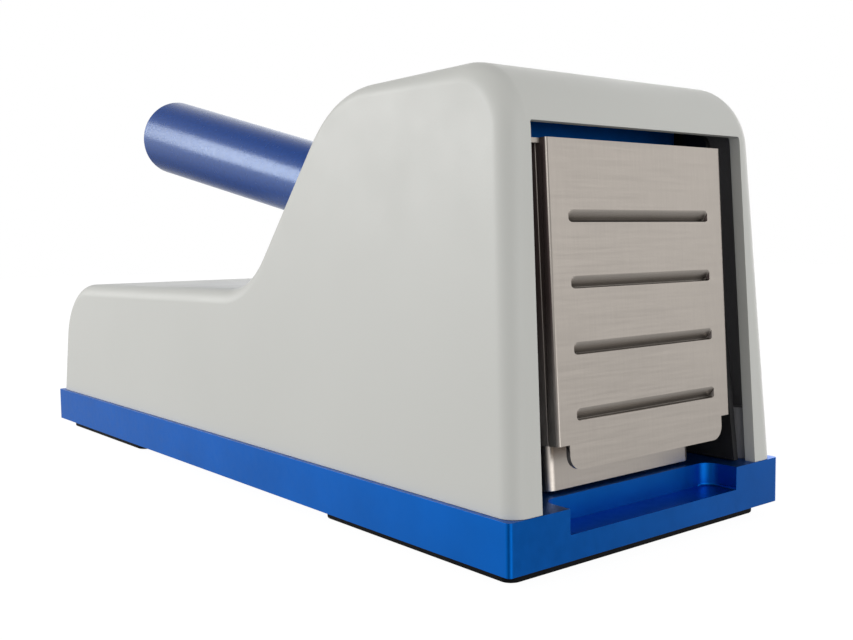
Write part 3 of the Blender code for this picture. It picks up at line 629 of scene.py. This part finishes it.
def make_front_plate(material, side_shade_material):
    """The bent front sheet. Its sides carry painted shade, with a fine joggle line half-way back."""
    plate = mesh_object(
        "front_plate_sheet", channel(PLATE_HALF, 0.0, 3.2, SHEET, 0.9, SHOULDER, PLATE_TOP), material, LEANING
    )
    plate.data.materials.append(side_shade_material)
    top = SHOULDER + 4.0
    tongue = outline([(-28.3, 7.6, 3.5), (28.3, 7.6, 3.5), (28.3, top, 0.0), (-28.3, top, 0.0)], 10)
    boolean(plate, mesh_object("tongue", prism(tongue, 0.0, SHEET, "XZ"), place=LEANING), "UNION")
    for i, height in reversed(list(enumerate(GROOVES))):  # from the foot up, the order that the cuts come out clean in
        rib = rectangle(-GROOVE_HALF - 0.9, GROOVE_HALF + 0.9, height - 1.85, height + 1.85, 1.8, 6)
        boolean(plate, mesh_object(f"rib_{i}", prism(rib, 0.6, SHEET + 1.4, "XZ"), place=LEANING), "UNION")
        boolean(plate, mesh_object(f"cut_groove_{i}", groove_cutter(height), place=LEANING))
    for side in (-1, 1):
        low, high = sorted((side * (PLATE_HALF + 0.25), side * (PLATE_HALF - SHEET + 0.15)))
        rear = prism(rectangle(low, high, 2.9, 6.0, 0.2, 3), SHOULDER, PLATE_TOP - 0.6)
        boolean(plate, mesh_object(f"rear_flange_{side}", rear, place=LEANING), "UNION")
        low, high = sorted((side * (PLATE_HALF - 0.03), side * (PLATE_HALF - SHEET + 0.02)))
        for height in (18.0, 76.0):
            ear = prism(rectangle(low, high, 4.0, 15.0), height - 4.0, height + 4.0)
            boolean(plate, mesh_object(f"ear_{side}_{height:.0f}", ear, place=LEANING), "UNION")
            bore = lathe([(0.0, -4.0), (1.8, -4.0), (1.8, 4.0), (0.0, 4.0)], 24)
            spot = along("X", (side * PLATE_HALF, 11.5, height))
            boolean(plate, mesh_object(f"cut_ear_{side}_{height:.0f}", bore, place=LEANING @ spot))
    tab = prism(rectangle(-36.0, -31.2, 1.5, 3.0, 0.3, 3), PLATE_TOP - 1.2, PLATE_TOP - 0.1)
    boolean(plate, mesh_object("tab", tab, place=LEANING), "UNION")
    bevel(plate, 0.12, 2, 50)
    shade_flat(apply_modifiers(plate), LEANING.to_3x3().col[1])
    # The faces of the sides take the painted-shade material.
    for face in plate.data.polygons:
        face.material_index = int(abs(face.normal.x) > 0.75 and face.center.z < (BASE_TOP + PLATE_TOP - 1.5) * MM)
    finish_piece(plate, "chassis", "brushed_steel", "front_plate")


def make_platen(material):
    """The second sheet, bent back at both sides, which slides behind the front plate."""
    platen = mesh_object("platen_sheet", channel(26.5, 9.0, 15.0, 1.5, 2.2, 1.25, 79.05), material, LEANING)
    bevel(platen, 0.2, 2, 50)
    weigh_normals(platen)
    finish_piece(apply_modifiers(platen), "platen", "brushed_steel", "platen")


# ---------------------------------------------------------------- lever, handle and springs

PIVOT = (37.0, 94.0)
ROLLER = (21.55, 61.0)
HANDLE_RISE = math.radians(12.28)
HANDLE_LENGTH = 197.0
HANDLE_END = (258.4, 119.3)
MOUTH = (
    HANDLE_END[0] - HANDLE_LENGTH * math.cos(HANDLE_RISE),
    HANDLE_END[1] - HANDLE_LENGTH * math.sin(HANDLE_RISE),
)
ALONG_HANDLE = Matrix.Translation((0.0, *MOUTH)) @ Matrix.Rotation(HANDLE_RISE - math.pi / 2, 4, "X")


def make_lever_head(material):
    """The block that turns on the pivot pin. It holds the handle behind and the roller in front."""
    turns = [math.radians(a) for a in range(250, 150, -10)]
    nose = [(ROLLER[0] + 5.0 * math.cos(a), ROLLER[1] + 5.0 * math.sin(a)) for a in turns]
    spine = [
        (23.5, 83.0), (28.0, 96.0), (46.0, 96.0), (52.0, 89.0), (56.0, 81.0), (50.0, 61.0), (40.0, 57.0), (26.0, 55.8),
    ]
    head = mesh_object("lever_block", prism(nose + spine, -19.0, 19.0, "YZ"), material)
    barrel = lathe([(0.0, -34.5), (14.0, -34.5), (14.0, 34.5), (0.0, 34.5)], 96)
    boolean(head, mesh_object("barrel", barrel, place=along("X", (0.0, *PIVOT))), "UNION")
    socket = lathe([(0.0, -30.0), (15.0, -30.0), (15.0, 0.0), (0.0, 0.0)], 72)
    boolean(head, mesh_object("socket", socket, place=ALONG_HANDLE), "UNION")
    brow = prism(rectangle(23.2, 32.0, 88.0, 104.6, 0.8, 4), -34.3, 34.3, "YZ")
    boolean(head, mesh_object("brow", brow), "UNION")
    gap = rectangle(ROLLER[0] - 9.0, ROLLER[0] + 8.0, ROLLER[1] - 9.0, ROLLER[1] + 8.5)
    boolean(head, mesh_object("cut_roller_gap", prism(gap, -12.3, 12.3, "YZ")))
    bores = (
        ("pivot", 4.3, -40.0, 40.0, along("X", (0.0, *PIVOT))),
        ("spigot", 9.3, -24.0, 5.0, ALONG_HANDLE),
        ("roller_pin", 2.8, -25.0, 25.0, along("X", (0.0, *ROLLER))),
        ("cross_pin", 2.3, -25.0, 25.0, ALONG_HANDLE @ along("X", (0.0, 0.0, -12.0))),
    )
    for name, radius, low, high, place in bores:
        bore = lathe([(0.0, low), (radius, low), (radius, high), (0.0, high)], 40)
        boolean(head, mesh_object("cut_" + name, bore, place=place))
    bevel(head, 0.5, 2, 35)
    weigh_normals(head)
    finish_piece(apply_modifiers(head), "lever", "blue_aluminium", "lever_head")


def make_handle(material):
    """The tapered tube, thickest at its rounded end, and the plug in that end."""
    end, grip, edge = HANDLE_LENGTH, 15.0, 1.6
    turns = [math.radians(a) for a in range(0, 91, 15)]
    rim = [(grip - edge * (1 - math.sin(a)), end - edge * (1 - math.cos(a))) for a in turns]
    profile = [
        (10.8, end), *rim, (11.5, 8.0), (10.9, 1.1), (10.1, GAP), (9.0, GAP), (9.0, -22.0), (6.0, -22.0),
        (6.0, end - 9.0), (10.8, end - 9.0),
    ]
    tube = mesh_object("handle_grip", lathe(profile, 128), material, ALONG_HANDLE)
    bore = lathe([(0.0, -25.0), (2.3, -25.0), (2.3, 25.0), (0.0, 25.0)], 32)
    boolean(tube, mesh_object("cut_cross_pin_tube", bore, place=ALONG_HANDLE @ along("X", (0.0, 0.0, -12.0))))
    bevel(tube, 0.2, 2, 50)
    weigh_normals(tube)
    finish_piece(apply_modifiers(tube), "lever", "blue_aluminium", "handle_tube")
    top = end - 0.2
    cap = [
        (0.0, top - 0.7), (6.4, top - 0.7), (7.0, top - 0.5), (7.4, top), (9.8, top), (10.3, top - 0.2),
        (10.5, top - 0.7), (10.5, end - 8.0), (0.0, end - 8.0),
    ]
    plug = mesh_object("handle_cap", lathe(cap, 96), material, ALONG_HANDLE)
    weigh_normals(plug)
    finish_piece(apply_modifiers(plug), "lever", "blue_aluminium", "handle_end_plug")


def make_spring(side, x, material):
    """A compression spring along Y as a swept round wire, with closed end turns."""
    radius, wire, turns, start, length, rod_height = 4.6, 0.55, 7, 40.4, 18.0, 41.0
    per_turn, around = 28, 10
    closed = 2.2 * wire
    free = length - 2 * wire - 2 * closed
    total = (turns + 2) * per_turn
    turns_around = [2 * math.pi * n / around for n in range(around)]
    shape = bmesh.new()
    rings = []
    for i in range(total + 1):
        turn = i / per_turn
        ends = min(turn, 1.0) * closed + max(0.0, turn - turns - 1.0) * closed
        back = ends + min(max(turn - 1.0, 0.0), turns) / turns * free
        a = 2 * math.pi * turn
        out = Vector((math.cos(a), 0.0, math.sin(a)))
        centre = Vector((x, start + wire + back, rod_height)) + out * radius
        spokes = [out * math.cos(b) + Vector((0, 1, 0)) * math.sin(b) for b in turns_around]
        rings.append([shape.verts.new(centre + spoke * wire) for spoke in spokes])
    for a, b in zip(rings, rings[1:]):
        for n in range(around):
            m = (n + 1) % around
            shape.faces.new((a[n], a[m], b[m], b[n]))
    shape.faces.new(rings[0][::-1])
    shape.faces.new(rings[-1])
    spring = mesh_object(f"coil_spring_{side}", shape, material)
    finish_piece(spring, "chassis", "bright_steel", f"return_spring_{side}")
    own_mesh(spring)


# ---------------------------------------------------------------- stage, camera and light


def make_camera():
    data = bpy.data.cameras.new("camera")
    data.lens = 43.72
    data.sensor_width = 36.0
    data.clip_start = 0.01
    camera = bpy.data.objects.new("camera", data)
    yaw, pitch, roll = 0.676425, -0.080360, -0.012640
    ahead = Vector((math.sin(yaw) * math.cos(pitch), math.cos(yaw) * math.cos(pitch), math.sin(pitch)))
    right = Vector((math.cos(yaw), -math.sin(yaw), 0.0))
    up = right.cross(ahead)
    c, s = math.cos(roll), math.sin(roll)
    axes = (c * right + s * up, -s * right + c * up, -ahead)
    turn = Matrix(axes).transposed().to_4x4()
    camera.matrix_world = Matrix.Translation((-0.19735, -0.29168, 0.07596)) @ turn
    bpy.context.scene.collection.objects.link(camera)
    bpy.context.scene.camera = camera


LIGHTS = (
    # name, direction from the object, distance, width, height, watts
    ("left_rear", (-0.75, 0.75, 0.35), 1.3, 0.9, 0.5, 6.5),
)
GLOWS = (
    # name, direction from the object, sharpness, strength: the bright sides of the pale room
    ("front", (0.0, -1.0, 0.15), 6.0, 2.3),
    ("right", (1.0, 0.0, 0.15), 6.0, 1.6),
    ("rear_right", (0.7, 0.7, 0.15), 6.0, 1.8),
    ("rear_left", (-0.7, 0.7, 0.15), 6.0, 1.4),
    ("left_side", (-1.0, 0.0, 0.15), 6.0, 0.9),
    ("above", (0.0, 0.0, 1.0), 6.0, 0.6),
    ("below", (0.0, 0.0, -1.0), 3.0, 0.4),
    ("below_front_right", (0.5, -0.6, -0.7), 5.0, 0.1),
)
AIM = Vector((0.0, -0.03, 0.06))


def softbox(name, way, distance, width, height, power):
    """A rectangular light that looks at the object from a direction."""
    data = bpy.data.lights.new(name, "AREA")
    data.shape = "RECTANGLE"
    data.size = width
    data.size_y = height
    data.energy = power
    light = bpy.data.objects.new(name, data)
    light.location = AIM + Vector(way).normalized() * distance
    light.rotation_euler = (AIM - light.location).to_track_quat("-Z", "Y").to_euler()
    bpy.context.scene.collection.objects.link(light)


def add_glow(tree, way, total, name, facing, sharpness, strength):
    """Adds a soft patch that faces one direction to the world's brightness."""
    def step(operation, first, second):
        node = tree.nodes.new("ShaderNodeMath")
        node.operation = operation
        for socket, value in zip(node.inputs, (first, second)):
            if isinstance(value, float):
                socket.default_value = value
            else:
                tree.links.new(value, socket)
        return node

    dot = tree.nodes.new("ShaderNodeVectorMath")
    dot.operation = "DOT_PRODUCT"
    tree.links.new(way, dot.inputs[0])
    dot.inputs[1].default_value = Vector(facing).normalized()
    lobe = step("POWER", step("MAXIMUM", dot.outputs["Value"], 0.0).outputs[0], sharpness)
    patch = step("MULTIPLY", lobe.outputs[0], strength)
    patch.name = "glow_" + name
    return step("ADD", total, patch.outputs[0]).outputs[0]


def make_light():
    """A room with soft bright sides, and a softbox. The background that the camera sees is plain white."""
    world = bpy.data.worlds.new("studio")
    world.use_nodes = True
    tree = world.node_tree
    room = tree.nodes["Background"]
    total = 0.0
    way = tree.nodes.new("ShaderNodeTexCoord").outputs["Generated"]
    for glow in GLOWS:
        total = add_glow(tree, way, total, *glow)
    room.inputs["Color"].default_value = (1.0, 1.0, 1.0, 1.0)
    tree.links.new(total, room.inputs["Strength"])
    backdrop = tree.nodes.new("ShaderNodeBackground")
    backdrop.inputs["Color"].default_value = (1.0, 1.0, 1.0, 1.0)
    backdrop.inputs["Strength"].default_value = 1.0
    seen = tree.nodes.new("ShaderNodeLightPath").outputs["Is Camera Ray"]
    choose = tree.nodes.new("ShaderNodeMixShader")
    tree.links.new(seen, choose.inputs["Fac"])
    tree.links.new(room.outputs["Background"], choose.inputs[1])
    tree.links.new(backdrop.outputs["Background"], choose.inputs[2])
    tree.links.new(choose.outputs["Shader"], tree.nodes["World Output"].inputs["Surface"])
    bpy.context.scene.world = world
    for light in LIGHTS:
        softbox(*light)
    bpy.context.scene.view_settings.view_transform = "Standard"


def make_floor():
    """A plain pale floor that glows a little. Only the camera sees it, so it doesn't shade or tint the object."""
    material = bpy.data.materials.new("pale_floor")
    material.use_nodes = True
    shader = material.node_tree.nodes["Principled BSDF"]
    shader.inputs["Base Color"].default_value = (0.08, 0.08, 0.08, 1.0)
    shader.inputs["Roughness"].default_value = 0.9
    shader.inputs["Specular IOR Level"].default_value = 0.0
    shader.inputs["Emission Color"].default_value = (1.0, 1.0, 1.0, 1.0)
    shader.inputs["Emission Strength"].default_value = 0.97
    floor = mesh_object("floor", prism(rectangle(-2000.0, 2000.0, -2000.0, 2000.0), -1.2, -0.2), material)
    for ray in ("diffuse", "glossy", "transmission", "volume_scatter", "shadow"):
        setattr(floor, "visible_" + ray, False)


def main():
    blue = blue_anodised()
    steel = turned_steel()
    black = black_oxide()
    bushes = bronze()
    stainless = brushed_steel()
    kinds = {
        "blue_aluminium": blue, "rubber": rubber(), "dark_steel": black,
        "brushed_steel": stainless, "bearing_bronze": bushes, "bright_steel": steel,
    }
    slots = {part["node"]: part["material_slot"] for part in frame["record"]["subparts"]}
    for name, node in NODES.items():
        if slots[name] in kinds:
            node.data.materials.clear()
            node.data.materials.append(kinds[slots[name]])
    make_housing(shell_plastic(), shell_inside_shade())
    make_base(blue, kinds["rubber"])
    make_front_plate(pressed_steel(), side_painted_shade())
    make_platen(stainless)
    make_lever_head(blue)
    make_handle(blasted_blue())
    make_spring("left", -20.0, steel)
    make_spring("right", 20.0, steel)
    make_camera()
    make_light()
    make_floor()


main()
